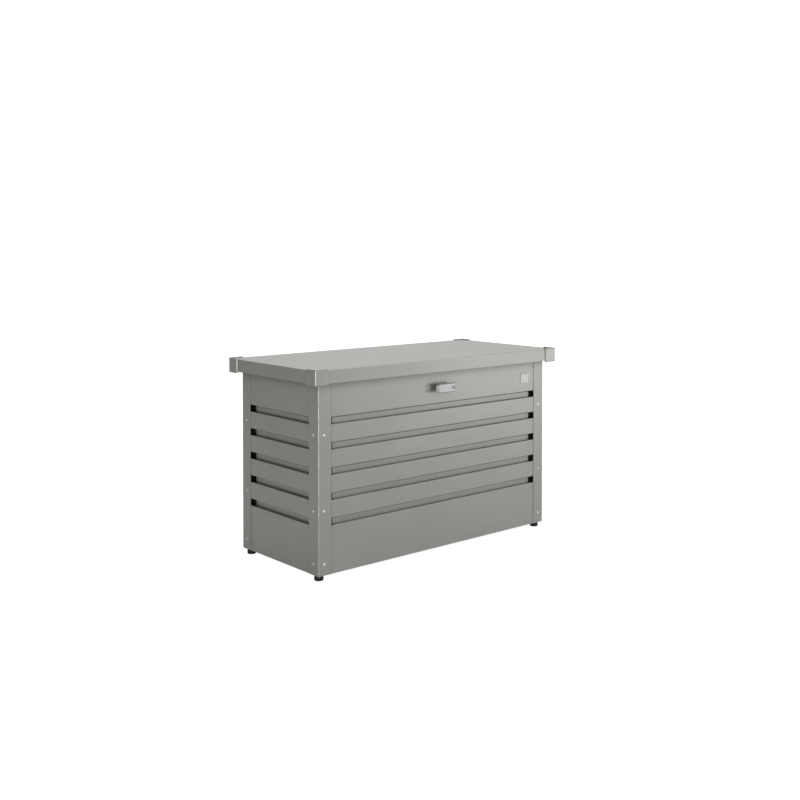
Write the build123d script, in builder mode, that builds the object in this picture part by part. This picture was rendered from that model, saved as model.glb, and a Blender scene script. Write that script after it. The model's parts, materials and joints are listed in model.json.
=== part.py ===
from build123d import *

import os

# Deck storage box: ribbed sheet-steel walls between four corner posts, on four feet, under a
# sheet-pan lid that swings on two rear hinges and two gas struts and is locked by a turn handle.
# Millimetres. +Z up, front faces -Y, origin on the floor at the centre of the footprint.

os.makedirs("parts", exist_ok=True)

# ---------------------------------------------------------------- driving dimensions
body_length = 944.0          # over the corner posts, X
body_depth = 400.0           # over the corner posts, Y
body_bottom = 17.5           # walls and posts start here, on top of the feet
wall_top = 600.0             # walls and posts end here, inside the lid

post_width = 46.0            # each leg of a corner post
post_sheet = 1.0
post_bend = 4.0

sheet = 0.8                  # walls, lid, floor
groove_count = 5
groove_pitch = 72.75
groove_height = 21.0
groove_lowest = 168.2        # centre height of the lowest groove
groove_depth = 12.0
groove_vent = 13.0           # the channels stop this far short of the posts
baffle_lap = 5.0             # black strips behind the open channel ends lap the channels
baffle_sheet = 0.8
bend_large = 1.4
bend_small = 0.6

lid_length = 998.0
lid_depth = 450.0
lid_bottom = 570.35
lid_top = 609.2
lid_bend = 2.2
hem_width = 8.0

cap_reach = 46.0             # wing of a corner cap, measured from the outer corner
cap_side = 4.0               # how far a cap stands proud of the lid's sides
cap_top = 612.2
cap_bottom = 565.5
cap_lip = 3.0
cap_corner_radius = 5.0
cap_edge_radius = 2.8
cap_top_lip = 10.0           # a cap laps the lid's top by a strip this wide along both edges
cap_top_lip_radius = 1.0

foot_radius = 13.6
foot_x = 454.0
foot_y = 177.0

screw_inset_front = 21.5     # from the outer corner of a post, on the front and the rear
screw_inset_side = 25.0      # the same on the ends of the box
screw_heights = (50.0, 202.0, 420.5)
screw_head_radius = 5.0
screw_head_height = 2.6
screw_shank_radius = 2.5
hole_clearance = 0.1

hinge_x = 300.0
hinge_y = 212.0
hinge_z = 575.0
knuckle_radius = 5.0
knuckle_count = 5
knuckle_length = 12.0
leaf_sheet = 2.0
rivet_radius = 2.0
rivet_head_radius = 3.6
rivet_head_height = 1.3
rivet_spread = 20.0
body_rivet_z = 545.0
lid_rivet_z = 593.0

strut_x = 445.0
strut_foot_y = -110.0
strut_foot_z = 421.8
strut_head_y = 150.0
strut_head_z = 588.0

lock_x = 4.5
lock_z = 518.0
barrel_radius = 11.0
escutcheon_length = 38.0
escutcheon_height = 30.0
escutcheon_thickness = 10.0
handle_length = 76.0
handle_height = 27.5
handle_thickness = 12.0
handle_front = 228.0         # how far the handle's face is from the centre plane
cam_reach = 34.0
cam_width = 14.0

badge_x = 382.5
badge_z = 514.4
badge_width = 41.5
badge_height = 33.2
badge_corner = 2.0
badge_thickness = 1.2

# ---------------------------------------------------------------- derived places
half_length = body_length / 2
half_depth = body_depth / 2
plank_x = half_length - post_sheet        # outer face of the side walls
plank_y = half_depth - post_sheet         # outer face of the front and rear walls
inner_x = plank_x - sheet
inner_y = plank_y - sheet
groove_centres = [groove_lowest + i * groove_pitch for i in range(groove_count)]
corners = {
    "front_left": (-1, -1),
    "front_right": (1, -1),
    "rear_left": (-1, 1),
    "rear_right": (1, 1),
}
sides = {"left": -1, "right": 1}
rivet_columns = [
    sign * hinge_x + shift
    for sign in sides.values()
    for shift in (-rivet_spread, 0, rivet_spread)
]


def slab(x_range, y_range, z_range, mode=Mode.ADD):
    """Box between two values on each axis, in either order."""
    spans = [sorted(span) for span in (x_range, y_range, z_range)]
    centre = tuple((low + high) / 2 for low, high in spans)
    lengths = [high - low for low, high in spans]
    with Locations(centre):
        Box(*lengths, mode=mode)


def rod_x(radius, x_range, y, z, mode=Mode.ADD):
    """Round bar along X."""
    low, high = sorted(x_range)
    with Locations(Location(((low + high) / 2, y, z), (0, 90, 0))):
        Cylinder(radius, high - low, mode=mode)


def rod_y(radius, y_range, x, z, mode=Mode.ADD):
    """Round bar along Y."""
    low, high = sorted(y_range)
    with Locations(Location((x, (low + high) / 2, z), (90, 0, 0))):
        Cylinder(radius, high - low, mode=mode)


def rod_z(radius, z_range, x, y, mode=Mode.ADD):
    """Round bar along Z."""
    low, high = sorted(z_range)
    with Locations((x, y, (low + high) / 2)):
        Cylinder(radius, high - low, mode=mode)


def outermost_upright(builder, sx, sy):
    """The vertical edge at the outside corner of a corner piece."""
    uprights = builder.edges().filter_by(Axis.Z)
    return uprights.sort_by(lambda edge: sx * edge.center().X + sy * edge.center().Y)[-1]


def save(builder, label):
    """Label a finished piece and write it as its own STEP file."""
    builder.part.label = label
    export_step(builder.part, f"parts/{label}.step")


# ---------------------------------------------------------------- ribbed walls
def wall_profile(face, inward):
    """Closed outline of a ribbed wall's section: flat planks with channels folded inward."""
    outer = [(face, body_bottom)]
    inner = [(face + inward * sheet, body_bottom)]
    floor = face + inward * groove_depth
    for centre in groove_centres:
        low = centre - groove_height / 2
        high = centre + groove_height / 2
        outer += [(face, low), (floor, low), (floor, high), (face, high)]
        inner_face = face + inward * sheet
        inner_floor = floor + inward * sheet
        inner += [
            (inner_face, low - sheet),
            (inner_floor, low - sheet),
            (inner_floor, high + sheet),
            (inner_face, high + sheet),
        ]
    outer.append((face, wall_top))
    inner.append((face + inward * sheet, wall_top))
    outer_radii = [bend_large, bend_small, bend_small, bend_large] * groove_count
    inner_radii = [bend_small, bend_large, bend_large, bend_small] * groove_count
    with BuildLine() as outline:
        FilletPolyline(*outer, radius=outer_radii)
        FilletPolyline(*inner, radius=inner_radii)
        Line(outer[0], inner[0])
        Line(outer[-1], inner[-1])
    return outline.edges()


def cut_vents(half_span, face, inward, along_x):
    """Open the channels near the posts, where the planks alone run on under the post."""
    end = half_span - post_width - groove_vent
    near = face + inward * sheet
    far = face + inward * (groove_depth + 2 * sheet)
    for centre in groove_centres:
        reach = groove_height / 2 + 2 * sheet
        heights = (centre - reach, centre + reach)
        for sign in sides.values():
            run = (sign * end, sign * half_span)
            if along_x:
                slab(run, (near, far), heights, mode=Mode.SUBTRACT)
            else:
                slab((near, far), run, heights, mode=Mode.SUBTRACT)


for name, sign in (("front_panel", -1), ("rear_panel", 1)):
    with BuildPart() as wall:
        with BuildSketch(Plane.YZ):
            make_face(wall_profile(sign * plank_y, -sign))
        extrude(amount=plank_x, both=True)
        cut_vents(half_length, sign * plank_y, -sign, along_x=True)
        for side in sides.values():
            for height in screw_heights:
                rod_y(
                    screw_shank_radius + hole_clearance,
                    (sign * inner_y, sign * plank_y),
                    side * (half_length - screw_inset_front),
                    height,
                    mode=Mode.SUBTRACT,
                )
        span = (sign * inner_y, sign * plank_y)
        if sign < 0:
            rod_y(barrel_radius + hole_clearance, span, lock_x, lock_z, mode=Mode.SUBTRACT)
        else:
            for x in rivet_columns:
                rod_y(rivet_radius, span, x, body_rivet_z, mode=Mode.SUBTRACT)
    save(wall, name)

for name, sign in (("left_panel", -1), ("right_panel", 1)):
    with BuildPart() as wall:
        with BuildSketch(Plane.XZ):
            make_face(wall_profile(sign * plank_x, -sign))
        extrude(amount=inner_y, both=True)
        cut_vents(half_depth, sign * plank_x, -sign, along_x=False)
        for side in sides.values():
            for height in screw_heights:
                rod_x(
                    screw_shank_radius + hole_clearance,
                    (sign * inner_x, sign * plank_x),
                    side * (half_depth - screw_inset_side),
                    height,
                    mode=Mode.SUBTRACT,
                )
    save(wall, name)

# ---------------------------------------------------------------- strips behind the channel ends
channel_back_x = plank_x - groove_depth - sheet
channel_back_y = plank_y - groove_depth - sheet
baffle_heights = (
    groove_centres[0] - groove_height / 2 - baffle_lap,
    groove_centres[-1] + groove_height / 2 + baffle_lap,
)
baffle_start_x = half_length - post_width - groove_vent - baffle_lap
baffle_start_y = half_depth - post_width - groove_vent - baffle_lap
baffle_corner_gap = 0.2
with BuildPart() as vent_baffles:
    for sx, sy in corners.values():
        baffle_end_x = channel_back_x - baffle_sheet - baffle_corner_gap
        slab(
            (sx * baffle_start_x, sx * baffle_end_x),
            (sy * (channel_back_y - baffle_sheet), sy * channel_back_y),
            baffle_heights,
        )
        slab(
            (sx * (channel_back_x - baffle_sheet), sx * channel_back_x),
            (sy * baffle_start_y, sy * channel_back_y),
            baffle_heights,
        )
save(vent_baffles, "vent_baffles")

# ---------------------------------------------------------------- corner posts
for corner, (sx, sy) in corners.items():
    with BuildPart() as post:
        x_span = (sx * (half_length - post_width), sx * half_length)
        y_span = (sy * (half_depth - post_width), sy * half_depth)
        slab(x_span, y_span, (body_bottom, wall_top))
        fillet(outermost_upright(post, sx, sy), radius=post_bend)
        slab(
            (x_span[0], sx * plank_x),
            (y_span[0], sy * plank_y),
            (body_bottom, wall_top),
            mode=Mode.SUBTRACT,
        )
        for height in screw_heights:
            hole = screw_shank_radius + hole_clearance
            screw_x = sx * (half_length - screw_inset_front)
            screw_y = sy * (half_depth - screw_inset_side)
            rod_y(hole, (sy * plank_y, sy * half_depth), screw_x, height, mode=Mode.SUBTRACT)
            rod_x(hole, (sx * plank_x, sx * half_length), screw_y, height, mode=Mode.SUBTRACT)
    save(post, f"corner_post_{corner}")


# ---------------------------------------------------------------- post screws and nuts
nut_thickness = 4.0
nut_flats = 8.0
screw_tail = 1.0             # thread showing past the nut
screw_length = post_sheet + sheet + nut_thickness + screw_tail
dome_radius = (screw_head_radius**2 + screw_head_height**2) / (2 * screw_head_height)
socket_radius = 1.6          # hexagon socket, over its corners
socket_depth = 1.6
thread_gap = 0.03            # around a plain screw in a plain nut

with BuildPart() as screw_form:
    with BuildSketch(Plane.XZ):
        with BuildLine():
            Polyline(
                (screw_head_radius, 0),
                (screw_shank_radius, 0),
                (screw_shank_radius, -screw_length),
                (0, -screw_length),
                (0, screw_head_height),
            )
            RadiusArc((0, screw_head_height), (screw_head_radius, 0), dome_radius)
        make_face()
    revolve(axis=Axis.Z)
    with BuildSketch(Plane.XY.offset(screw_head_height)):
        RegularPolygon(socket_radius, 6)
    extrude(amount=-socket_depth, mode=Mode.SUBTRACT)


def hex_nut(origin, inward, flats, bore, thickness):
    """Hexagon nut that sits on the origin and stands along inward."""
    with BuildSketch(Plane(origin=origin, z_dir=inward)) as hexagon:
        RegularPolygon(flats / 2, 6, major_radius=False)
        Circle(bore, mode=Mode.SUBTRACT)
    extrude(hexagon.sketch, amount=thickness)


post_screw_seats = []
for sx, sy in corners.values():
    for height in screw_heights:
        screw_x = sx * (half_length - screw_inset_front)
        screw_y = sy * (half_depth - screw_inset_side)
        post_screw_seats.append(((screw_x, sy * half_depth, height), (0, sy, 0)))
        post_screw_seats.append(((sx * half_length, screw_y, height), (sx, 0, 0)))

with BuildPart() as post_screws:
    for seat, outward in post_screw_seats:
        with Locations(Plane(origin=seat, z_dir=outward).location):
            add(screw_form.part)
save(post_screws, "post_screws")

with BuildPart() as post_nuts:
    for seat, outward in post_screw_seats:
        depth = post_sheet + sheet
        nut_seat = tuple(s - depth * o for s, o in zip(seat, outward))
        inward = tuple(-o for o in outward)
        hex_nut(nut_seat, inward, nut_flats, screw_shank_radius + thread_gap, nut_thickness)
save(post_nuts, "post_nuts")

# ---------------------------------------------------------------- base rails and floor tray
rail_sheet = 1.5
rail_top = 27.5
rail_width = 40.0
tray_flange_bottom = 18.5
tray_flange_gap = 2.0        # between a flange's end and the rail beside it
bolt_radius = 3.0

rail_places = {
    "left": -(inner_x - rail_width / 2),
    "centre": 0.0,
    "right": inner_x - rail_width / 2,
}
for side, centre_x in rail_places.items():
    with BuildPart() as rail:
        x_span = (centre_x - rail_width / 2, centre_x + rail_width / 2)
        slab(x_span, (-inner_y, inner_y), (body_bottom, rail_top))
        slab(
            (x_span[0] + rail_sheet, x_span[1] - rail_sheet),
            (-inner_y, inner_y),
            (body_bottom + rail_sheet, rail_top),
            mode=Mode.SUBTRACT,
        )
        if side in sides:
            for sign in sides.values():
                rod_z(
                    bolt_radius + hole_clearance,
                    (body_bottom, body_bottom + rail_sheet),
                    sides[side] * foot_x,
                    sign * foot_y,
                    mode=Mode.SUBTRACT,
                )
    save(rail, f"base_rail_{side}")

flange_inner = rail_width / 2 + tray_flange_gap
flange_outer = inner_x - rail_width - tray_flange_gap
with BuildPart() as floor_tray:
    slab((-inner_x, inner_x), (-inner_y, inner_y), (rail_top, rail_top + sheet))
    for sx, sy in corners.values():
        slab(
            (sx * flange_inner, sx * flange_outer),
            (sy * (inner_y - sheet), sy * inner_y),
            (tray_flange_bottom, rail_top),
        )
save(floor_tray, "floor_tray")

# ---------------------------------------------------------------- feet
bolt_head_radius = 6.0
bolt_head_low = 2.0
bolt_head_high = 7.0
bolt_end = 26.0
bolt_recess_radius = 6.5
foot_edge_radius = 3.0
foot_nut_flats = 10.0
foot_nut_thickness = 5.0

for corner, (sx, sy) in corners.items():
    with BuildPart() as foot:
        rod_z(foot_radius, (0, body_bottom), sx * foot_x, sy * foot_y)
        bottom_edge = foot.edges().filter_by(GeomType.CIRCLE).sort_by(Axis.Z)[0]
        fillet(bottom_edge, radius=foot_edge_radius)
        rod_z(
            bolt_recess_radius,
            (0, bolt_head_high),
            sx * foot_x,
            sy * foot_y,
            mode=Mode.SUBTRACT,
        )
        rod_z(
            bolt_radius + hole_clearance,
            (bolt_head_high, body_bottom),
            sx * foot_x,
            sy * foot_y,
            mode=Mode.SUBTRACT,
        )
    save(foot, f"foot_{corner}")

with BuildPart() as foot_bolts:
    for sx, sy in corners.values():
        rod_z(bolt_head_radius, (bolt_head_low, bolt_head_high), sx * foot_x, sy * foot_y)
        rod_z(bolt_radius, (bolt_head_low, bolt_end), sx * foot_x, sy * foot_y)
save(foot_bolts, "foot_bolts")

with BuildPart() as foot_nuts:
    for sx, sy in corners.values():
        seat = (sx * foot_x, sy * foot_y, body_bottom + rail_sheet)
        hex_nut(seat, (0, 0, 1), foot_nut_flats, bolt_radius + thread_gap, foot_nut_thickness)
save(foot_nuts, "foot_nuts")

# ---------------------------------------------------------------- rim rails under the lid
rim_overhang = 10.0
rim_leg_bottom = 585.0
rim_lip_bottom = 592.0
rim_top = wall_top + sheet
rim_clearance = 0.2


def rim_rail(along_x, sign):
    """Folded angle over a wall's top edge, with a drip lip hanging outside the wall."""
    face = plank_y if along_x else plank_x
    leg_half = (half_length if along_x else half_depth) - post_width - rim_clearance
    if along_x:
        top_half = half_length + rim_overhang
    else:
        top_half = inner_y - sheet - rim_clearance
    outer = face + post_sheet + rim_overhang
    pieces = (
        (leg_half, (face, face + sheet), (rim_leg_bottom, rim_top)),
        (top_half, (face - 2 * sheet, outer), (wall_top, rim_top)),
        (top_half, (outer - sheet, outer), (rim_lip_bottom, rim_top)),
    )
    for half_run, across, heights in pieces:
        run = (-half_run, half_run)
        across = tuple(sign * value for value in across)
        if along_x:
            slab(run, across, heights)
        else:
            slab(across, run, heights)


for name, along_x, sign in (
    ("rim_front", True, -1),
    ("rim_rear", True, 1),
    ("rim_left", False, -1),
    ("rim_right", False, 1),
):
    with BuildPart() as rim:
        rim_rail(along_x, sign)
    save(rim, name)

buffer_radius = 5.0
buffer_gap = 0.3             # the lid's top sheet rests this far above the rubber
buffer_places = (
    (-380.0, -204.0),
    (380.0, -204.0),
    (-476.0, 0.0),
    (476.0, 0.0),
    (-150.0, 204.0),
    (150.0, 204.0),
)
with BuildPart() as rim_buffers:
    for x, y in buffer_places:
        rod_z(buffer_radius, (rim_top, lid_top - sheet - buffer_gap), x, y)
save(rim_buffers, "rim_buffers")

# ---------------------------------------------------------------- badge plate
with BuildPart() as badge_plate:
    with BuildSketch(Plane.XZ.offset(plank_y)):
        with Locations((badge_x, badge_z)):
            RectangleRounded(badge_width, badge_height, badge_corner)
    extrude(amount=badge_thickness)
save(badge_plate, "badge_plate")

# ---------------------------------------------------------------- lid
lid_inner_top = lid_top - sheet
skirt_x = lid_length / 2
skirt_y = lid_depth / 2

with BuildPart() as lid_skin:
    slab((-skirt_x, skirt_x), (-skirt_y, skirt_y), (lid_bottom, lid_top))
    folds = lid_skin.edges().filter_by(Axis.Z) + lid_skin.faces().sort_by(Axis.Z)[-1].edges()
    fillet(folds, radius=lid_bend)
    lower = lid_skin.faces().sort_by(Axis.Z)[0]
    offset(amount=-sheet, openings=lower)
    hem = (lid_bottom, lid_bottom + sheet)
    hem_x = skirt_x - hem_width
    hem_y = skirt_y - hem_width
    end = skirt_x - lid_bend
    slab((-end, end), (-skirt_y + sheet / 2, -hem_y), hem)
    for sign in sides.values():
        slab((sign * hem_x, sign * (skirt_x - sheet / 2)), (-hem_y, skirt_y - lid_bend), hem)
    for x in rivet_columns:
        rod_y(rivet_radius, (skirt_y - sheet, skirt_y), x, lid_rivet_z, mode=Mode.SUBTRACT)
save(lid_skin, "lid_skin")

rib_x = 250.0
rib_half_width = 20.0
rib_flange = 12.0
rib_depth = 10.0
rib_half_run = 180.0
for side, sign in sides.items():
    with BuildPart() as lid_rib:
        with BuildSketch(Plane.XZ):
            low = lid_inner_top - rib_depth
            outline = [
                (-rib_half_width - rib_flange, lid_inner_top),
                (-rib_half_width - rib_flange, lid_inner_top - sheet),
                (-rib_half_width - sheet, lid_inner_top - sheet),
                (-rib_half_width - sheet, low),
            ]
            outline += [(-x, z) for x, z in reversed(outline)]
            hollow = [
                (rib_half_width, lid_inner_top),
                (rib_half_width, low + sheet),
                (-rib_half_width, low + sheet),
                (-rib_half_width, lid_inner_top),
            ]
            section = [(sign * rib_x + x, z) for x, z in outline + hollow]
            with BuildLine():
                Polyline(*section, close=True)
            make_face()
        extrude(amount=rib_half_run, both=True)
    save(lid_rib, f"lid_rib_{side}")

for corner, (sx, sy) in corners.items():
    with BuildPart() as cap:
        outer_x = skirt_x + cap_side
        outer_y = skirt_y + cap_side
        x_span = (sx * (outer_x - cap_reach), sx * outer_x)
        y_span = (sy * (outer_y - cap_reach), sy * outer_y)
        slab(x_span, y_span, (cap_bottom, cap_top))
        fillet(outermost_upright(cap, sx, sy), radius=cap_corner_radius)
        outer_edges = cap.edges().filter_by(
            lambda edge: (
                sx * edge.center().X > outer_x - cap_corner_radius
                or sy * edge.center().Y > outer_y - cap_corner_radius
            )
            and (
                edge.geom_type != GeomType.LINE
                or abs(edge.center().Z - (cap_top + cap_bottom) / 2) > 1
                or min(sx * edge.center().X, sy * edge.center().Y) < outer_y - cap_reach + 1
            )
        )
        fillet(outer_edges, radius=cap_edge_radius)
        slab(
            (x_span[0], sx * skirt_x),
            (y_span[0], sy * skirt_y),
            (lid_bottom, lid_top),
            mode=Mode.SUBTRACT,
        )
        slab(
            (x_span[0], sx * (skirt_x - cap_lip)),
            (y_span[0], sy * (skirt_y - cap_lip)),
            (cap_bottom, lid_bottom),
            mode=Mode.SUBTRACT,
        )
        lip_x = sx * (outer_x - cap_top_lip)
        lip_y = sy * (outer_y - cap_top_lip)
        slab((x_span[0], lip_x), (y_span[0], lip_y), (lid_top, cap_top), mode=Mode.SUBTRACT)
        lip_edges = cap.edges().filter_by(
            lambda edge: abs(edge.center().Z - cap_top) < 0.1
            and min(
                abs(edge.center().X - lip_x),
                abs(edge.center().Y - lip_y),
            ) < 0.1
        )
        fillet(lip_edges, radius=cap_top_lip_radius)
    save(cap, f"lid_cap_{corner}")

# ---------------------------------------------------------------- hinges
hinge_half = knuckle_count * knuckle_length / 2
knuckle_gap = 0.4
pin_radius = 2.0
pin_clearance = 0.05
flange_start = knuckle_radius + 0.5      # the full-width flange keeps clear of the knuckles
body_leaf_bottom = 530.0
lid_leaf_top = 604.0
pin_head_radius = 3.4
pin_head_gap = 0.3
pin_end = 2.5                # how far a pin runs past the knuckles


def knuckles(centre_x, first, direction):
    """Every other knuckle of a hinge, each with a tab to its own leaf."""
    for index in range(first, knuckle_count, 2):
        start = centre_x - hinge_half + index * knuckle_length + knuckle_gap / 2
        run = (start, start + knuckle_length - knuckle_gap)
        rod_x(knuckle_radius, run, hinge_y, hinge_z)
        edge_z = hinge_z + direction * knuckle_radius
        tab = (hinge_y, hinge_y + direction * (flange_start + 0.5))
        slab(run, tab, (edge_z, edge_z - direction * leaf_sheet))


for side, sign in sides.items():
    centre_x = sign * hinge_x
    run = (centre_x - hinge_half, centre_x + hinge_half)
    with BuildPart() as body_leaf:
        shelf = (hinge_z - knuckle_radius, hinge_z - knuckle_radius + leaf_sheet)
        slab(run, (plank_y, plank_y + leaf_sheet), (body_leaf_bottom, shelf[1]))
        slab(run, (plank_y, hinge_y - flange_start), shelf)
        knuckles(centre_x, 0, -1)
        rod_x(pin_radius + pin_clearance, run, hinge_y, hinge_z, mode=Mode.SUBTRACT)
        for shift in (-rivet_spread, 0, rivet_spread):
            span = (plank_y, plank_y + leaf_sheet)
            rod_y(rivet_radius, span, centre_x + shift, body_rivet_z, mode=Mode.SUBTRACT)
    save(body_leaf, f"hinge_body_leaf_{side}")

    with BuildPart() as lid_leaf:
        shelf = (hinge_z + knuckle_radius - leaf_sheet, hinge_z + knuckle_radius)
        inner_face = skirt_y - sheet
        slab(run, (inner_face - leaf_sheet, inner_face), (shelf[0], lid_leaf_top))
        slab(run, (hinge_y + flange_start, inner_face), shelf)
        knuckles(centre_x, 1, 1)
        rod_x(pin_radius + pin_clearance, run, hinge_y, hinge_z, mode=Mode.SUBTRACT)
        for shift in (-rivet_spread, 0, rivet_spread):
            span = (inner_face - leaf_sheet, inner_face)
            rod_y(rivet_radius, span, centre_x + shift, lid_rivet_z, mode=Mode.SUBTRACT)
    save(lid_leaf, f"hinge_lid_leaf_{side}")

    with BuildPart() as hinge_pin:
        rod_x(pin_radius, (run[0] - pin_end, run[1] + pin_end), hinge_y, hinge_z)
        for end_x, outward in ((run[0], -1), (run[1], 1)):
            head = (end_x + outward * pin_head_gap, end_x + outward * pin_end)
            rod_x(pin_head_radius, head, hinge_y, hinge_z)
    save(hinge_pin, f"hinge_pin_{side}")


def rivet(x, z, near, far):
    """Rivet through sheets between two Y faces, with a head on each."""
    rod_y(rivet_radius, (near, far), x, z)
    rod_y(rivet_head_radius, (near - rivet_head_height, near), x, z)
    rod_y(rivet_head_radius, (far, far + rivet_head_height), x, z)


with BuildPart() as hinge_body_rivets:
    for x in rivet_columns:
        rivet(x, body_rivet_z, inner_y, plank_y + leaf_sheet)
save(hinge_body_rivets, "hinge_body_rivets")

with BuildPart() as hinge_lid_rivets:
    for x in rivet_columns:
        rivet(x, lid_rivet_z, skirt_y - sheet - leaf_sheet, skirt_y)
save(hinge_lid_rivets, "hinge_lid_rivets")

# ---------------------------------------------------------------- gas struts
bracket_plate = 3.0
bracket_half = 20.0
bracket_corner = 5.0
shoulder_radius = 7.0
shoulder_gap = 0.4           # beside an eye
stud_head_radius = 6.0
stud_head_thickness = 3.6
eye_width = 8.0
eye_radius = 9.0
stud_radius = 4.0
stud_clearance = 0.05
head_eye_radius = 8.0
head_gap = 0.4               # the head pin stops this far short of the lid's bracket
head_pin_radius = 5.5
head_pin_length = 3.0
head_boss = 1.0
lid_bracket_half = 15.0
lid_bracket_drop = 10.0
lid_bracket_plate = 2.0
lid_bracket_tab = 18.0
lid_bracket_tab_sheet = 1.5
lid_bracket_corner = 6.0
tube_radius = 9.0
tube_bore = 7.4
tube_start = 18.0
tube_end = 268.0
bore_start = 125.0
gland_start = 256.0
rod_radius = 3.6
neck_of_eye = 3.4
rod_start = 130.0
piston_length = 8.0

strut_run = Vector(0, strut_head_y - strut_foot_y, strut_head_z - strut_foot_z)
strut_length = strut_run.length

for side, sign in sides.items():
    axis_x = sign * strut_x
    near_x = sign * (strut_x + eye_width / 2)
    far_x = sign * (strut_x - eye_width / 2)
    plane = Plane(origin=(axis_x, strut_foot_y, strut_foot_z), x_dir=(1, 0, 0), z_dir=strut_run)

    with BuildPart() as body_bracket:
        base_x = sign * (inner_x - bracket_plate)
        slab(
            (base_x, sign * inner_x),
            (strut_foot_y - bracket_half, strut_foot_y + bracket_half),
            (strut_foot_z - bracket_half, strut_foot_z + bracket_half),
        )
        plate_edges = body_bracket.edges().filter_by(Axis.X)
        fillet(plate_edges, radius=bracket_corner)
        shoulder = near_x + sign * shoulder_gap
        head_start = far_x - sign * shoulder_gap
        head_end = head_start - sign * stud_head_thickness
        rod_x(shoulder_radius, (shoulder, base_x), strut_foot_y, strut_foot_z)
        rod_x(stud_radius, (head_start, base_x), strut_foot_y, strut_foot_z)
        rod_x(stud_head_radius, (head_start, head_end), strut_foot_y, strut_foot_z)
    save(body_bracket, f"strut_body_bracket_{side}")

    with BuildPart() as strut_cylinder:
        rod_x(eye_radius, (near_x, far_x), strut_foot_y, strut_foot_z)
        with BuildSketch(plane.offset(tube_start)):
            Circle(tube_radius)
        extrude(amount=tube_end - tube_start)
        with BuildSketch(plane):
            Circle(neck_of_eye)
        extrude(amount=tube_start)
        rod_x(
            stud_radius + stud_clearance,
            (near_x, far_x),
            strut_foot_y,
            strut_foot_z,
            mode=Mode.SUBTRACT,
        )
        with BuildSketch(plane.offset(bore_start)):
            Circle(tube_bore)
        extrude(amount=gland_start - bore_start, mode=Mode.SUBTRACT)
        with BuildSketch(plane.offset(gland_start)):
            Circle(rod_radius + stud_clearance)
        extrude(amount=tube_end - gland_start, mode=Mode.SUBTRACT)
    save(strut_cylinder, f"strut_cylinder_{side}")

    with BuildPart() as strut_rod:
        with BuildSketch(plane.offset(rod_start)):
            Circle(tube_bore - stud_clearance)
        extrude(amount=piston_length)
        with BuildSketch(plane.offset(rod_start)):
            Circle(rod_radius)
        extrude(amount=strut_length - rod_start)
        boss_x = near_x + sign * head_boss
        pin_x = far_x - sign * head_pin_length
        rod_x(head_eye_radius, (boss_x, far_x), strut_head_y, strut_head_z)
        rod_x(head_pin_radius, (far_x, pin_x), strut_head_y, strut_head_z)
    save(strut_rod, f"strut_rod_{side}")

    with BuildPart() as lid_bracket:
        plate_near = near_x + sign * (head_boss + head_gap)
        depth = (strut_head_y - lid_bracket_half, strut_head_y + lid_bracket_half)
        slab(
            (plate_near, plate_near + sign * lid_bracket_plate),
            depth,
            (strut_head_z - lid_bracket_drop, lid_inner_top),
        )
        slab(
            (plate_near, plate_near + sign * lid_bracket_tab),
            depth,
            (lid_inner_top - lid_bracket_tab_sheet, lid_inner_top),
        )
        lower_corners = lid_bracket.edges().filter_by(Axis.X).group_by(Axis.Z)[0]
        fillet(lower_corners, radius=lid_bracket_corner)
    save(lid_bracket, f"strut_lid_bracket_{side}")

# ---------------------------------------------------------------- lock: fixed parts
barrel_end = 190.0           # Y distance of the barrel's inner end from the centre plane
spindle_radius = 5.0
running = 0.05
escutcheon_edge = 2.5
escutcheon_face = plank_y + escutcheon_thickness

with BuildPart() as lock_escutcheon:
    with BuildSketch(Plane.XZ.offset(plank_y)):
        with Locations((lock_x, lock_z)):
            SlotOverall(escutcheon_length, escutcheon_height)
    extrude(amount=escutcheon_thickness)
    front_edges = lock_escutcheon.faces().sort_by(Axis.Y)[0].edges()
    fillet(front_edges, radius=escutcheon_edge)
    rod_y(barrel_radius, (-plank_y, -barrel_end), lock_x, lock_z)
    rod_y(
        spindle_radius + running,
        (-escutcheon_face, -barrel_end),
        lock_x,
        lock_z,
        mode=Mode.SUBTRACT,
    )
save(lock_escutcheon, "lock_escutcheon")

lock_nut_flats = 30.0
lock_nut_thickness = 5.0
with BuildPart() as lock_nut:
    lock_nut_seat = (lock_x, -inner_y, lock_z)
    lock_nut_bore = barrel_radius + thread_gap
    hex_nut(lock_nut_seat, (0, 1, 0), lock_nut_flats, lock_nut_bore, lock_nut_thickness)
save(lock_nut, "lock_nut")

# ---------------------------------------------------------------- lock: turning parts
neck_radius = 10.5
handle_corner = 5.0
handle_edge = 2.4
handle_back = handle_front - handle_thickness
face_gap = 0.3
pocket_x = lock_x + 17.5
pocket_length = 34.0
pocket_height = 15.0
pocket_depth = 1.0
key_x = lock_x + 25.0
key_radius = 6.0
key_depth = 9.5
key_end_gap = 0.2
key_sunk = 0.3               # the cylinder's face lies this far inside the handle's
key_slot_half_length = 3.6
key_slot_half_height = 0.9
key_slot_depth = 5.0
spindle_lap = 2.0            # how far the spindle reaches past the handle's back
socket_floor = handle_back - spindle_lap

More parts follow.
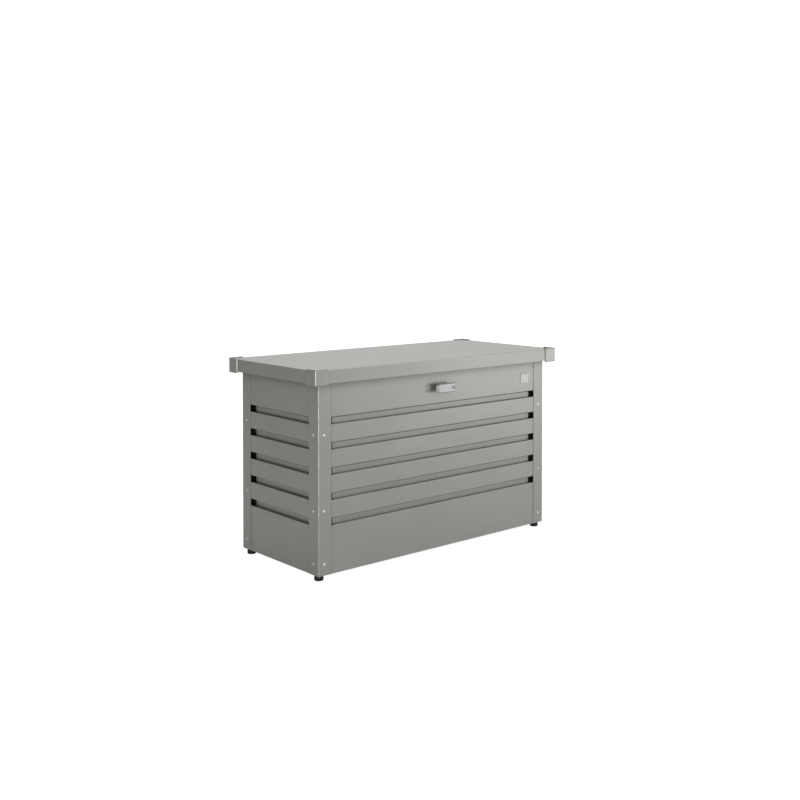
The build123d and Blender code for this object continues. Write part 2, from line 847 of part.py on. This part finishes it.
with BuildPart() as lock_handle:
    with BuildSketch(Plane.XZ.offset(handle_back)):
        with Locations((lock_x, lock_z)):
            RectangleRounded(handle_length, handle_height, handle_corner)
    extrude(amount=handle_thickness)
    soft_edges = lock_handle.faces().sort_by(Axis.Y)[0].edges()
    fillet(soft_edges, radius=handle_edge)
    rod_y(neck_radius, (-escutcheon_face - face_gap, -handle_back), lock_x, lock_z)
    rod_y(
        spindle_radius,
        (-escutcheon_face - face_gap, -socket_floor),
        lock_x,
        lock_z,
        mode=Mode.SUBTRACT,
    )
    with BuildSketch(Plane.XZ.offset(handle_front)):
        with Locations((pocket_x, lock_z)):
            SlotOverall(pocket_length, pocket_height)
    extrude(amount=-pocket_depth, mode=Mode.SUBTRACT)
    rod_y(
        key_radius + running,
        (-handle_front, -handle_front + key_depth + key_end_gap),
        key_x,
        lock_z,
        mode=Mode.SUBTRACT,
    )
save(lock_handle, "lock_handle")

with BuildPart() as key_cylinder:
    front = -handle_front + key_sunk
    rod_y(key_radius, (front, -handle_front + key_depth), key_x, lock_z)
    slab(
        (key_x - key_slot_half_length, key_x + key_slot_half_length),
        (front, front + key_slot_depth),
        (lock_z - key_slot_half_height, lock_z + key_slot_half_height),
        mode=Mode.SUBTRACT,
    )
save(key_cylinder, "key_cylinder")

cam_near = 188.0
cam_far = 185.0
stub_radius = 4.0
cam_screw_radius = 2.5
cam_screw_length = 7.0
cam_screw_hole = 8.0
cam_screw_head_radius = 5.5
cam_screw_head = 2.6
driver_slot_depth = 1.2
driver_slot_half = 0.6
driver_slot_reach = 4.0
cam_tail = cam_width / 2 + 2.0   # the cam's rounded back end behind the spindle's axis

with BuildPart() as lock_spindle:
    rod_y(spindle_radius, (-socket_floor, -cam_near), lock_x, lock_z)
    rod_y(stub_radius, (-cam_near, -cam_far), lock_x, lock_z)
    screw_hole = (-cam_near - cam_screw_hole, -cam_far)
    rod_y(cam_screw_radius, screw_hole, lock_x, lock_z, mode=Mode.SUBTRACT)
save(lock_spindle, "lock_spindle")

with BuildPart() as lock_cam:
    with BuildSketch(Plane.XZ.offset(cam_far)):
        with Locations((lock_x, lock_z)):
            with Locations((0, (cam_reach - cam_tail) / 2)):
                SlotOverall(cam_reach + cam_tail, cam_width, rotation=90)
            Circle(stub_radius, mode=Mode.SUBTRACT)
    extrude(amount=cam_near - cam_far)
save(lock_cam, "lock_cam")

with BuildPart() as cam_screw:
    head_top = -cam_far + cam_screw_head
    rod_y(cam_screw_radius, (-cam_near - cam_screw_length, -cam_far), lock_x, lock_z)
    rod_y(cam_screw_head_radius, (-cam_far, head_top), lock_x, lock_z)
    slab(
        (lock_x - driver_slot_reach, lock_x + driver_slot_reach),
        (head_top - driver_slot_depth, head_top),
        (lock_z - driver_slot_half, lock_z + driver_slot_half),
        mode=Mode.SUBTRACT,
    )
save(cam_screw, "cam_screw")

# ---------------------------------------------------------------- keeper under the lid
keeper_x = (24.0, 44.0)
keeper_arm = (180.0, 182.0)
keeper_lip_front = 190.5
keeper_lip_z = (507.0, 509.5)
keeper_tab_end = 160.0
keeper_tab_sheet = 2.0
with BuildPart() as lock_keeper:
    slab(keeper_x, [-y for y in keeper_arm], (keeper_lip_z[0], lid_inner_top))
    slab(keeper_x, (-keeper_lip_front, -keeper_arm[0]), keeper_lip_z)
    tab_y = (-keeper_arm[1], -keeper_tab_end)
    slab(keeper_x, tab_y, (lid_inner_top - keeper_tab_sheet, lid_inner_top))
save(lock_keeper, "lock_keeper")
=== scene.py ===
import json
import math

import bmesh
import bpy
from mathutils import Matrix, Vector


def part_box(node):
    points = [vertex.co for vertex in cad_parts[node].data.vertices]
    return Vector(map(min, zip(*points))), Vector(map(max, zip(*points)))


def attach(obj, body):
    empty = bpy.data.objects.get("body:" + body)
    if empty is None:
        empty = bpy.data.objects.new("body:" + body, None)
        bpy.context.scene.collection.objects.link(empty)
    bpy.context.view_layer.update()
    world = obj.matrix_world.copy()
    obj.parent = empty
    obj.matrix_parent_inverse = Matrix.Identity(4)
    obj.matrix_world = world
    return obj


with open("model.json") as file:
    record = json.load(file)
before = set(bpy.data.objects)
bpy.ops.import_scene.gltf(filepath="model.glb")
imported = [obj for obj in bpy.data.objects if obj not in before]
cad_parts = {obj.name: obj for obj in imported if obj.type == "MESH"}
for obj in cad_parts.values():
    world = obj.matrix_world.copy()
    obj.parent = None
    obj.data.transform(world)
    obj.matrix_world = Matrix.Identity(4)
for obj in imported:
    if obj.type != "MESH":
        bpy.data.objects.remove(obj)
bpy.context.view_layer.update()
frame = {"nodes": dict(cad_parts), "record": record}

# Deck storage box in a plain white studio. Metres, in the frame of the CAD model.

nodes = frame["nodes"]

# ---------------------------------------------------------------- places read from the frame
wall_low, wall_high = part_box("front_panel")
side_low, side_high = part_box("right_panel")
post_low, post_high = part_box("corner_post_front_right")
WALL_Y = -wall_low[1]                 # outer face of the front and rear walls
WALL_X = side_high[0]                 # outer face of the side walls
POST_EDGE_X = post_low[0]             # where the front wall meets a post
POST_EDGE_Y = -post_high[1]           # where a side wall meets a post
lid_low, lid_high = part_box("lid_skin")
cap_low, cap_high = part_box("lid_cap_front_right")
LID_BOTTOM = lid_low[2]
LID_TOP = lid_high[2]
LID_X = lid_high[0]
LID_Y = lid_high[1]
CAP_END_X = cap_low[0]                # where a corner cap ends along the front of the lid
CAP_END_Y = -cap_high[1]              # and along its side
badge_low, badge_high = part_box("badge_plate")
GROOVE_PITCH = 0.07275                # between the middles of two channels
GROOVE_LOWEST = 0.1682                # height of the lowest channel's middle
GROOVE_HALF = 0.0105                  # half the height of a channel
GROOVE_FOLD = 0.0036                  # height of the bend on each side of a channel
SHADOW_LINE_WIDTH = 0.0016                         # width of the painted shadow line where two sheets meet
CAP_SHADE = 0.0025                    # how far beside a cap its shade is deepest
BEND_HIGHLIGHT_WIDTH = 0.003                    # width of the painted highlight along a folded edge
OVERHANG_SHADE = 0.034                # how far below the lid its shade reaches
SHADE_STARTS = 0.0008                 # depth behind a wall's face where channel shade begins
SHADE_FULL = 0.003                    # depth where it is at its full strength

# How much each painted shade takes away from the paint colour, and how much each painted highlight
# adds.
CHANNEL_SHADE = 0.1
UPPER_FOLD_SHADE = 0.5
LOWER_FOLD_SHADE = 0.22
POST_SEAM_SHADE = 0.5
CAP_SEAM_SHADE = 0.45
LID_SHADE = 0.46
LID_SHADE_CURVE = 1.6
FOLD_HIGHLIGHT = 0.28
CAP_END_HIGHLIGHT = 0.25


# ---------------------------------------------------------------- camera
def make_camera():
    data = bpy.data.cameras.new("camera")
    camera = bpy.data.objects.new("camera", data)
    bpy.context.scene.collection.objects.link(camera)
    camera.location = (-2.2562, -2.6499, 0.9666)
    camera.rotation_euler = (math.radians(88.574), 0, math.radians(-40.829))
    data.sensor_width = 36
    data.lens = 48.166
    data.shift_x = -0.0088
    data.shift_y = -0.1625
    bpy.context.scene.camera = camera


# ---------------------------------------------------------------- material tools
class Shader:
    """A material with one Principled shader, and short ways to add texture nodes to it."""

    def __init__(self, name, **settings):
        self.material = bpy.data.materials.new(name)
        self.material.use_nodes = True
        self.tree = self.material.node_tree
        self.shader = self.tree.nodes["Principled BSDF"]
        for socket, value in settings.items():
            self.shader.inputs[socket.replace("_", " ")].default_value = value
        coordinates = self.tree.nodes.new("ShaderNodeTexCoord")
        self.place = coordinates.outputs["Object"]

    def link(self, source, target):
        self.tree.links.new(source, target)

    def feed(self, source, socket):
        self.link(source, self.shader.inputs[socket])

    def stretched(self, scale):
        mapping = self.tree.nodes.new("ShaderNodeMapping")
        mapping.inputs["Scale"].default_value = scale
        self.link(self.place, mapping.inputs["Vector"])
        return mapping.outputs["Vector"]

    def noise(self, scale, detail=3.0, stretch=(1, 1, 1)):
        node = self.tree.nodes.new("ShaderNodeTexNoise")
        node.inputs["Scale"].default_value = scale
        node.inputs["Detail"].default_value = detail
        self.link(self.stretched(stretch), node.inputs["Vector"])
        return node.outputs["Fac"]

    def ramp(self, factor, stops):
        node = self.tree.nodes.new("ShaderNodeValToRGB")
        elements = node.color_ramp.elements
        for element, (position, colour) in zip(elements, (stops[0], stops[-1])):
            element.position = position
            element.color = (*colour, 1)
        for position, colour in stops[1:-1]:
            element = elements.new(position)
            element.color = (*colour, 1)
        self.link(factor, node.inputs["Fac"])
        return node.outputs["Color"]

    def spread(self, factor, low, high, start=0.0, end=1.0):
        node = self.tree.nodes.new("ShaderNodeMapRange")
        node.inputs["From Min"].default_value = start
        node.inputs["From Max"].default_value = end
        node.inputs["To Min"].default_value = low
        node.inputs["To Max"].default_value = high
        self.link(factor, node.inputs["Value"])
        return node.outputs["Result"]

    def maths(self, operation, *values):
        node = self.tree.nodes.new("ShaderNodeMath")
        node.operation = operation
        for socket, value in zip(node.inputs, values):
            if isinstance(value, (int, float)):
                socket.default_value = value
            else:
                self.link(value, socket)
        return node.outputs["Value"]

    def shade(self, colour, factor):
        """Multiply a colour by a number."""
        node = self.tree.nodes.new("ShaderNodeVectorMath")
        node.operation = "SCALE"
        self.link(colour, node.inputs["Vector"])
        self.link(factor, node.inputs["Scale"])
        return node.outputs["Vector"]

    def axes(self):
        node = self.tree.nodes.new("ShaderNodeSeparateXYZ")
        self.link(self.place, node.inputs["Vector"])
        return node.outputs["X"], node.outputs["Y"], node.outputs["Z"]

    def bump(self, height, strength, distance):
        node = self.tree.nodes.new("ShaderNodeBump")
        node.inputs["Strength"].default_value = strength
        node.inputs["Distance"].default_value = distance
        self.link(height, node.inputs["Height"])
        self.feed(node.outputs["Normal"], "Normal")


def tinted(colour, factor):
    return tuple(channel * factor for channel in colour)


# ---------------------------------------------------------------- painted steel
def metallic_paint(name, colour, roughness=0.42, painted_shading=None):
    """Grey metallic coating: a faint cloudiness, fine flakes and a slight orange peel, with any
    painted shade and painted highlights multiplied into its colour.
    """
    paint = Shader(name, Metallic=0.9, Coat_Weight=0.1, Coat_Roughness=0.25)
    clouds = paint.noise(5, detail=4)
    stops = ((0.35, tinted(colour, 0.975)), (0.65, tinted(colour, 1.025)))
    tone = paint.ramp(clouds, stops)
    flakes = paint.noise(1400, detail=2)
    tone = paint.shade(tone, paint.spread(flakes, 0.9, 1.1, 0.3, 0.7))
    # Painted shade and painted highlights, when given, are multiplied into the paint colour.
    if painted_shading:
        tone = paint.shade(tone, painted_shading(paint))
    paint.feed(tone, "Base Color")
    rough = paint.spread(flakes, roughness - 0.05, roughness + 0.05)
    paint.feed(rough, "Roughness")
    paint.bump(paint.noise(240, detail=2), 0.1, 0.0003)
    return paint.material


def shadow_line(paint, along, edge, depth):
    """A painted shadow line: a number that falls from 1 by depth on a thin line just inside a place
    along an axis.
    """
    beside = paint.maths("ABSOLUTE", paint.maths("SUBTRACT", along, edge - SHADOW_LINE_WIDTH / 2))
    return paint.spread(beside, 1 - depth, 1, SHADOW_LINE_WIDTH / 2, SHADOW_LINE_WIDTH)


def wall_painted_shade(paint):
    """Painted shade in the channels and their folds, beside the posts and just below the lid."""
    x, y, z = paint.axes()
    along_x = paint.maths("ABSOLUTE", x)
    along_y = paint.maths("ABSOLUTE", y)
    depth_y = paint.maths("SUBTRACT", WALL_Y, along_y)
    depth_x = paint.maths("SUBTRACT", WALL_X, along_x)
    depth = paint.maths("MINIMUM", depth_y, depth_x)
    inside = paint.spread(depth, 0, 1, SHADE_STARTS, SHADE_FULL)
    raised = paint.maths("ADD", z, GROOVE_PITCH / 2 - GROOVE_LOWEST + GROOVE_PITCH)
    phase = paint.maths("MODULO", raised, GROOVE_PITCH)
    height = paint.maths("SUBTRACT", phase, GROOVE_PITCH / 2)
    fold_start = GROOVE_HALF - GROOVE_FOLD
    upper_start = fold_start - GROOVE_FOLD / 2
    upper = paint.spread(height, 0, UPPER_FOLD_SHADE, upper_start, fold_start)
    downward = paint.maths("MULTIPLY", height, -1)
    lower = paint.spread(downward, 0, LOWER_FOLD_SHADE, fold_start, GROOVE_HALF)
    floor_shade = paint.maths("ADD", paint.maths("ADD", upper, lower), CHANNEL_SHADE)
    channel = paint.maths("SUBTRACT", 1, paint.maths("MULTIPLY", inside, floor_shade))
    posts = paint.maths(
        "MULTIPLY",
        shadow_line(paint, along_x, POST_EDGE_X, POST_SEAM_SHADE),
        shadow_line(paint, along_y, POST_EDGE_Y, POST_SEAM_SHADE),
    )
    shade = paint.maths("MULTIPLY", channel, posts)
    return paint.maths("MULTIPLY", shade, under_lid(paint))


def under_lid(paint):
    """Shade that deepens towards the lid's lower edge."""
    _, _, z = paint.axes()
    below = paint.maths("SUBTRACT", LID_BOTTOM, z)
    near = paint.spread(below, 1, 0, 0, OVERHANG_SHADE)
    curved = paint.maths("POWER", near, LID_SHADE_CURVE)
    return paint.maths("SUBTRACT", 1, paint.maths("MULTIPLY", curved, LID_SHADE))


def only_where(paint, place, factor):
    """The factor where place is 1, and no change where it is 0."""
    kept = paint.maths("MULTIPLY", place, paint.maths("SUBTRACT", factor, 1))
    return paint.maths("ADD", kept, 1)


def lid_edges(paint):
    """Painted shade where the lid's sheet runs in under its corner caps, and a painted highlight on
    its folds.
    """
    x, y, z = paint.axes()
    along_x = paint.maths("ABSOLUTE", x)
    along_y = paint.maths("ABSOLUTE", y)
    near_front = paint.spread(along_y, 0, 1, LID_Y - 1.5 * BEND_HIGHLIGHT_WIDTH, LID_Y - BEND_HIGHLIGHT_WIDTH)
    near_side = paint.spread(along_x, 0, 1, LID_X - 1.5 * BEND_HIGHLIGHT_WIDTH, LID_X - BEND_HIGHLIGHT_WIDTH)
    front_shadow_line = shadow_line(paint, along_x, CAP_END_X - CAP_SHADE, CAP_SEAM_SHADE)
    side_shadow_line = shadow_line(paint, along_y, CAP_END_Y - CAP_SHADE, CAP_SEAM_SHADE)
    shade = paint.maths(
        "MULTIPLY",
        only_where(paint, near_front, front_shadow_line),
        only_where(paint, near_side, side_shadow_line),
    )
    # Painted highlight along the lid's folded top edges.
    high = paint.spread(z, 0, FOLD_HIGHLIGHT, LID_TOP - BEND_HIGHLIGHT_WIDTH, LID_TOP - BEND_HIGHLIGHT_WIDTH / 2)
    fold_highlight = paint.maths("MULTIPLY", paint.maths("MAXIMUM", near_front, near_side), high)
    return paint.maths("MULTIPLY", shade, paint.maths("ADD", fold_highlight, 1))


def cap_end_painted_highlight(paint):
    """A painted highlight on the rounded ends of a corner cap."""
    x, y, _ = paint.axes()
    end_x = paint.maths("SUBTRACT", paint.maths("ABSOLUTE", x), CAP_END_X)
    end_y = paint.maths("SUBTRACT", paint.maths("ABSOLUTE", y), CAP_END_Y)
    nearest = paint.maths("MINIMUM", end_x, end_y)
    return paint.spread(nearest, 1 + CAP_END_HIGHLIGHT, 1, BEND_HIGHLIGHT_WIDTH / 2, BEND_HIGHLIGHT_WIDTH)


def plain(name, colour, roughness, metallic=0.0):
    shader = Shader(name, Metallic=metallic)
    stops = ((0.4, tinted(colour, 0.9)), (0.6, tinted(colour, 1.1)))
    shader.feed(shader.ramp(shader.noise(90), stops), "Base Color")
    rough = shader.spread(shader.noise(300), roughness - 0.06, roughness + 0.06)
    shader.feed(rough, "Roughness")
    shader.bump(shader.noise(500), 0.1, 0.0002)
    return shader.material


def brushed(name, colour, roughness, along, metallic=0.9):
    """Metal with fine lines along one axis and a few soft smudges."""
    metal = Shader(name, Metallic=metallic)
    lines = metal.noise(260, detail=3, stretch=along)
    smudges = metal.noise(35, detail=2)
    stops = ((0.35, tinted(colour, 0.93)), (0.65, tinted(colour, 1.05)))
    tone = metal.shade(metal.ramp(lines, stops), metal.spread(smudges, 0.96, 1.03, 0.3, 0.7))
    metal.feed(tone, "Base Color")
    rough = metal.maths("ADD", metal.spread(lines, -0.05, 0.05), metal.spread(smudges, -0.03, 0.03))
    metal.feed(metal.maths("ADD", rough, roughness), "Roughness")
    metal.bump(lines, 0.12, 0.0002)
    return metal.material


ALONG_X = (0.04, 1, 1)
ALONG_Z = (1, 1, 0.04)
BODY_GREY = (0.503, 0.503, 0.473)
SLOTS = {
    # The wall, post, lid and cap paints carry painted shade and painted highlights in their colour.
    "wall_paint": metallic_paint("wall_paint", BODY_GREY, painted_shading=wall_painted_shade),
    "post_paint": metallic_paint("post_paint", BODY_GREY, painted_shading=under_lid),
    "lid_paint": metallic_paint("lid_paint", BODY_GREY, painted_shading=lid_edges),
    "cap_paint": metallic_paint("cap_paint", BODY_GREY, 0.38, cap_end_painted_highlight),
    "rail_paint": metallic_paint("rail_paint", tinted(BODY_GREY, 0.9)),
    "galvanised": plain("galvanised", (0.5, 0.5, 0.5), 0.4, 0.9),
    "zinc": plain("zinc", (0.85, 0.85, 0.83), 0.3, 0.75),
    "satin_chrome": brushed("satin_chrome", (0.56, 0.56, 0.555), 0.36, ALONG_X),
    "lock_steel": brushed("lock_steel", (0.36, 0.36, 0.36), 0.34, ALONG_X),
    "badge_metal": brushed("badge_metal", (0.66, 0.66, 0.65), 0.4, ALONG_Z, 0.7),
    "foot_plastic": plain("foot_plastic", (0.012, 0.012, 0.012), 0.5),
    "rubber": plain("rubber", (0.015, 0.015, 0.015), 0.6),
    "strut_black": plain("strut_black", (0.01, 0.01, 0.01), 0.3),
    "strut_chrome": plain("strut_chrome", (0.7, 0.7, 0.72), 0.1, 1.0),
}


def paint_nodes():
    slot_of = {row["node"]: row["material_slot"] for row in frame["record"]["subparts"]}
    for name, obj in nodes.items():
        obj.data.materials.clear()
        obj.data.materials.append(SLOTS[slot_of[name]])


# ---------------------------------------------------------------- raised rim of the badge
def rounded_outline(half_width, half_height, radius, steps=6):
    """Points of a rounded rectangle round the origin, counter-clockwise."""
    points = []
    for corner in range(4):
        sx = 1 if corner in (0, 3) else -1
        sz = 1 if corner in (0, 1) else -1
        for step in range(steps + 1):
            angle = math.pi / 2 * (corner + step / steps)
            points.append((
                sx * (half_width - radius) + radius * math.cos(angle),
                sz * (half_height - radius) + radius * math.sin(angle),
            ))
    return points


def make_badge_rim():
    """A rounded bead round the blank plate, swept as rings from its outer to its inner foot."""
    centre = (badge_low + badge_high) / 2
    half_width = (badge_high[0] - badge_low[0]) / 2
    half_height = (badge_high[2] - badge_low[2]) / 2
    bead_width = 0.0016
    bead_height = 0.0007
    edge = 0.0003
    arc_steps = 6
    form = bmesh.new()
    rings = []
    for step in range(arc_steps + 1):
        angle = math.pi * step / arc_steps
        inset = edge + bead_width * (1 - math.cos(angle)) / 2
        out = badge_low[1] + edge - (bead_height + edge) * math.sin(angle)
        outline = rounded_outline(half_width - inset, half_height - inset, 0.002 - inset / 2)
        ring = [form.verts.new((centre[0] + px, out, centre[2] + pz)) for px, pz in outline]
        rings.append(ring)
    rings.append(rings[0])
    for ring, following in zip(rings, rings[1:]):
        for index in range(len(ring)):
            after = (index + 1) % len(ring)
            corners = (ring[index], ring[after], following[after], following[index])
            form.faces.new(corners).smooth = True
    bmesh.ops.recalc_face_normals(form, faces=form.faces)
    mesh = bpy.data.meshes.new("badge_rim")
    form.to_mesh(mesh)
    form.free()
    rim = bpy.data.objects.new("badge_rim", mesh)
    bpy.context.scene.collection.objects.link(rim)
    mesh.materials.append(SLOTS["badge_metal"])
    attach(rim, "cabinet")


# ---------------------------------------------------------------- studio
def camera_switch(tree, hidden, seen):
    """A number that is one value to the camera and another to every other ray."""
    path = tree.nodes.new("ShaderNodeLightPath")
    level = tree.nodes.new("ShaderNodeMapRange")
    if isinstance(hidden, (int, float)):
        level.inputs["To Min"].default_value = hidden
    else:
        tree.links.new(hidden, level.inputs["To Min"])
    level.inputs["To Max"].default_value = seen
    tree.links.new(path.outputs["Is Camera Ray"], level.inputs["Value"])
    return level.outputs["Result"]


def make_floor():
    half = 9.0
    mesh = bpy.data.meshes.new("floor")
    corners = [(-half, -half, 0), (half, -half, 0), (half, half, 0), (-half, half, 0)]
    mesh.from_pydata(corners, [], [(0, 1, 2, 3)])
    floor = bpy.data.objects.new("floor", mesh)
    bpy.context.scene.collection.objects.link(floor)
    white = Shader("floor", Roughness=0.9, Base_Color=(FLOOR, FLOOR, FLOOR, 1))
    white.shader.inputs["Emission Color"].default_value = (1, 1, 1, 1)
    white.feed(camera_switch(white.tree, FLOOR_GLOW, FLOOR_SEEN), "Emission Strength")
    mesh.materials.append(white.material)


FLOOR = 0.6                           # how much light the floor sends back
FLOOR_SEEN = 0.93                     # glow of the floor to the camera, which hides shadows
WORLD_SEEN = 1.2                      # glow of the background to the camera
FLOOR_GLOW = 0.10
UNIFORM = 0.22
# direction of each broad soft light, how narrow it is, and its strength
SOFT_LIGHTS = (
    ((0.1, -1.0, 0.1), 4, 0.38),
    ((0.1, -0.55, 0.85), 6, 0.9),
    ((0.65, 0.76, 0.25), 4, 0.74),
)
BOX_CENTRE = (0, 0, 0.35)
# softboxes: place, width, height, power. All of them face the box.
SOFTBOXES = {
    "key": ((2.8, -2.8, 0.42), 0.7, 0.8, 7),
    "corner": ((-1.6, -1.9, 0.2), 0.5, 0.36, 9),
}


def make_world():
    """White to the camera. To the object it is a dim room with a few broad soft lights."""
    world = bpy.data.worlds.new("studio")
    world.use_nodes = True
    bpy.context.scene.world = world
    tree = world.node_tree
    background = tree.nodes["Background"]
    coordinates = tree.nodes.new("ShaderNodeTexCoord")

    def maths(operation, *values):
        node = tree.nodes.new("ShaderNodeMath")
        node.operation = operation
        for socket, value in zip(node.inputs, values):
            if isinstance(value, (int, float)):
                socket.default_value = value
            else:
                tree.links.new(value, socket)
        return node.outputs["Value"]

    total = maths("ADD", UNIFORM, 0.0)
    for direction, sharpness, strength in SOFT_LIGHTS:
        aligned = tree.nodes.new("ShaderNodeVectorMath")
        aligned.operation = "DOT_PRODUCT"
        tree.links.new(coordinates.outputs["Generated"], aligned.inputs[0])
        aligned.inputs[1].default_value = Vector(direction).normalized()
        facing = maths("MAXIMUM", aligned.outputs["Value"], 0.0)
        lobe = maths("POWER", facing, sharpness)
        total = maths("ADD", total, maths("MULTIPLY", lobe, strength))
    tree.links.new(camera_switch(tree, total, WORLD_SEEN), background.inputs["Strength"])
    background.inputs["Color"].default_value = (1, 1, 1, 1)


def make_softboxes():
    for name, (location, width, height, power) in SOFTBOXES.items():
        data = bpy.data.lights.new(name, "AREA")
        data.shape = "RECTANGLE"
        data.size = width
        data.size_y = height
        data.energy = power
        light = bpy.data.objects.new(name, data)
        bpy.context.scene.collection.objects.link(light)
        light.location = location
        light.visible_camera = False
        towards = Vector(BOX_CENTRE) - Vector(location)
        light.rotation_euler = towards.to_track_quat("-Z", "Y").to_euler()


make_camera()
paint_nodes()
make_badge_rim()
make_floor()
make_world()
make_softboxes()
bpy.context.scene.view_settings.view_transform = "Standard"
